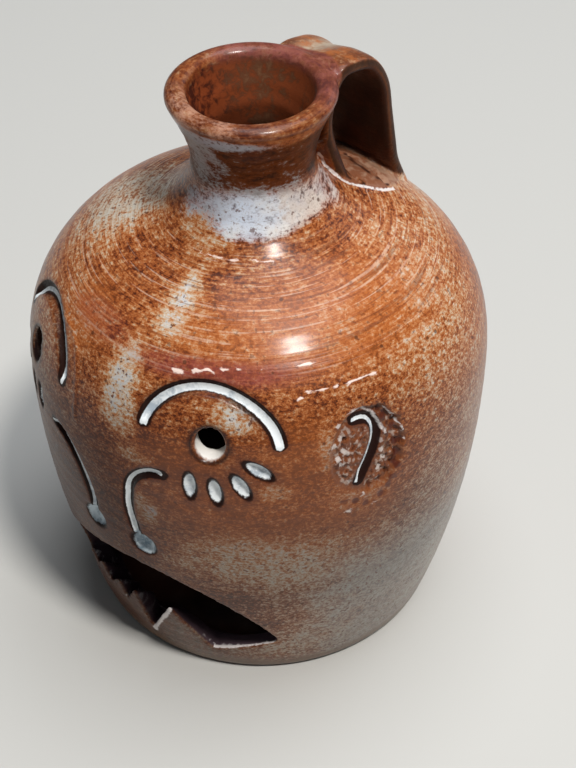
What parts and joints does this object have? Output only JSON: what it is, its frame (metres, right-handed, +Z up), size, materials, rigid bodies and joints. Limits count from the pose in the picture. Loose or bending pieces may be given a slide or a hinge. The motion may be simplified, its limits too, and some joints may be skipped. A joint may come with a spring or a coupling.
{
  "type": "face jug",
  "caption": "Wheel-thrown glazed jug with a carved comic face, pierced eyes, a wide open mouth with jagged lower teeth, stamped ears and a strap handle behind the neck.",
  "frame": {"origin": "centre of the round underside that the jug stands on", "axes": "+Z up along the axis it was thrown on; the nose points along -Y, the handle stands at the back, towards +Y; +X is the jug's own left side"},
  "size_m": [0.125, 0.125, 0.1629],
  "materials": {
    "glazed_ceramic": "glossy mottled rust-brown glaze with pale blue-grey runs and fine dark specks"
  },
  "bodies": {
    "root": {"face_jug": "glazed_ceramic"}
  },
  "joints": []
}
